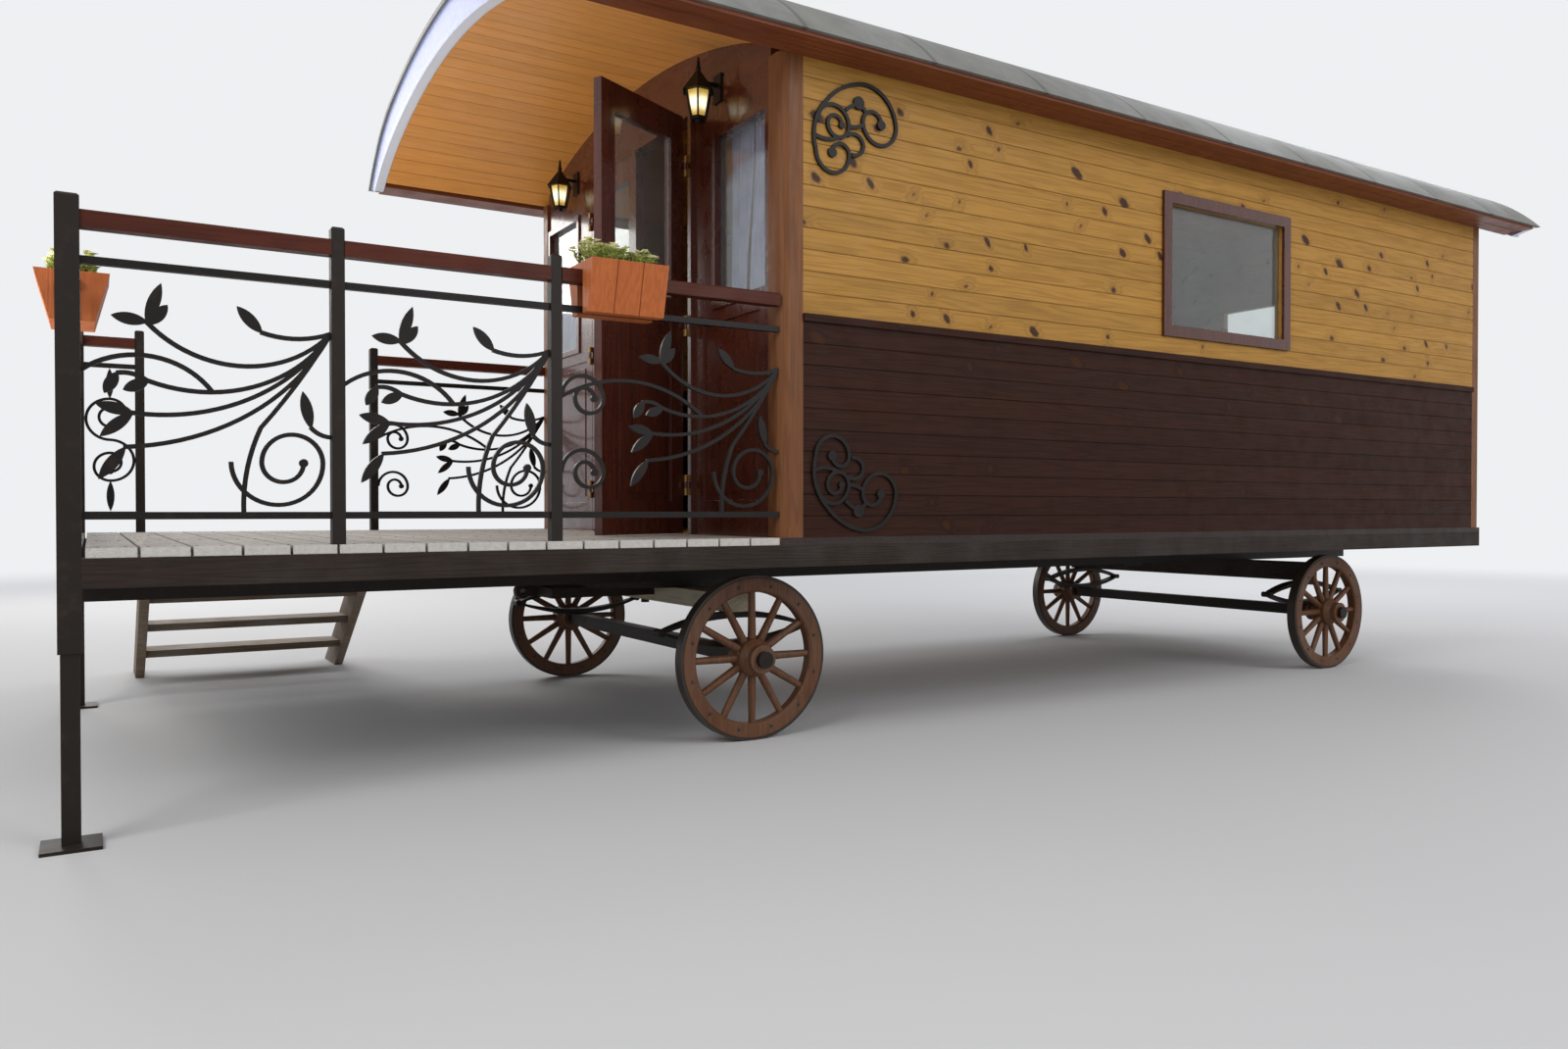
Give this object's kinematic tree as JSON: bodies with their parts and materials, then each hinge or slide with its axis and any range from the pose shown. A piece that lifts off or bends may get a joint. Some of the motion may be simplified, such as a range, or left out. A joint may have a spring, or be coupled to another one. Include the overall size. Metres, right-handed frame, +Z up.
{
  "type": "vardo wagon",
  "caption": "Wooden vardo with an arched roof, a railed porch deck with a side stair, and four spoked wheels.",
  "frame": {"origin": "on the ground, below the middle of the whole wagon's box", "axes": "+X from the porch deck towards the rear, +Y towards the stair side, +Z up"},
  "size_m": [7.98, 4.125, 3.2048],
  "materials": {
    "painted_steel": "satin",
    "wrought_iron": "satin",
    "dark_timber": "satin",
    "mahogany": "gloss",
    "yellow_pine": "satin",
    "ceiling_pine": "satin",
    "deck_wood": "matte",
    "post_wood": "satin",
    "rail_wood": "satin",
    "wheel_wood": "satin",
    "bolster_wood": "matte",
    "stair_wood": "matte",
    "roof_sheet": "satin",
    "fascia_paint": "satin",
    "tyre_steel": "satin",
    "window_glass": "gloss",
    "lamp_glass": "gloss",
    "curtain_fabric": "matte",
    "planter_wood": "matte",
    "foliage": "matte",
    "brass": "satin"
  },
  "bodies": {
    "root": {"chassis_rails": "painted_steel", "side_beams": "dark_timber", "cross_beams": "dark_timber", "deck_boards": "deck_wood", "cabin_floor": "deck_wood", "corner_posts": "post_wood", "side_walls_lower": "dark_timber", "side_walls_upper": "yellow_pine", "belt_rails": "dark_timber", "side_window_frames": "mahogany", "front_panels": "mahogany", "front_transom": "mahogany", "rear_wall": "yellow_pine", "door_jambs": "mahogany", "door_head": "mahogany", "door_hinges": "brass", "window_glass": "window_glass", "curtain_rods": "brass", "curtains": "curtain_fabric", "ceiling_boards": "ceiling_pine", "eave_beams": "ceiling_pine", "roof_fascias": "fascia_paint", "roof_cover": "roof_sheet", "corner_tubes": "painted_steel", "landing_legs": "painted_steel", "rail_posts": "painted_steel", "hand_rails": "rail_wood", "rail_bars": "wrought_iron", "rail_scrolls": "wrought_iron", "stair_stringers": "stair_wood", "stair_treads": "stair_wood", "turntable_top": "painted_steel", "rear_bolster": "dark_timber", "rear_springs": "painted_steel", "rear_axle": "painted_steel", "planter_boxes": "planter_wood", "planter_plants": "foliage", "lanterns": "wrought_iron", "lantern_glass": "lamp_glass", "wall_scrolls": "wrought_iron"},
    "fore_carriage": {"turntable_ring": "painted_steel", "front_bolster": "bolster_wood", "hounds": "dark_timber", "drawbar_head": "dark_timber", "front_springs": "painted_steel", "front_axle": "painted_steel"},
    "near_leaf": {"near_door": "mahogany", "near_door_glass": "window_glass"},
    "far_leaf": {"far_door": "mahogany", "far_door_glass": "window_glass"},
    "front_near_wheel": {"wheel_front_near": "wheel_wood", "tyre_front_near": "tyre_steel"},
    "front_far_wheel": {"wheel_front_far": "wheel_wood", "tyre_front_far": "tyre_steel"},
    "rear_near_wheel": {"wheel_rear_near": "wheel_wood", "tyre_rear_near": "tyre_steel"},
    "rear_far_wheel": {"wheel_rear_far": "wheel_wood", "tyre_rear_far": "tyre_steel"}
  },
  "joints": [
    {"name": "steer", "type": "hinge", "parent": "root", "child": "fore_carriage", "pos_m": [-1.498, -0.5225, 0.6], "axis": [0, 0, 1], "range_deg": [-35, 35]},
    {"name": "near_door_hinge", "type": "hinge", "parent": "root", "child": "near_leaf", "pos_m": [-1.557, -1.0825, 1.77], "axis": [0, 0, 1], "range_deg": [-117, 3]},
    {"name": "far_door_hinge", "type": "hinge", "parent": "root", "child": "far_leaf", "pos_m": [-1.557, 0.0375, 1.77], "axis": [0, 0, -1], "range_deg": [0, 120]},
    {"name": "front_near_spin", "type": "hinge", "parent": "fore_carriage", "child": "front_near_wheel", "pos_m": [-1.498, -1.5675, 0.34], "axis": [0, 1, 0], "continuous": true},
    {"name": "front_far_spin", "type": "hinge", "parent": "fore_carriage", "child": "front_far_wheel", "pos_m": [-1.498, 0.5225, 0.34], "axis": [0, 1, 0], "continuous": true},
    {"name": "rear_near_spin", "type": "hinge", "parent": "root", "child": "rear_near_wheel", "pos_m": [2.502, -1.5675, 0.34], "axis": [0, 1, 0], "continuous": true},
    {"name": "rear_far_spin", "type": "hinge", "parent": "root", "child": "rear_far_wheel", "pos_m": [2.502, 0.5225, 0.34], "axis": [0, 1, 0], "continuous": true}
  ]
}
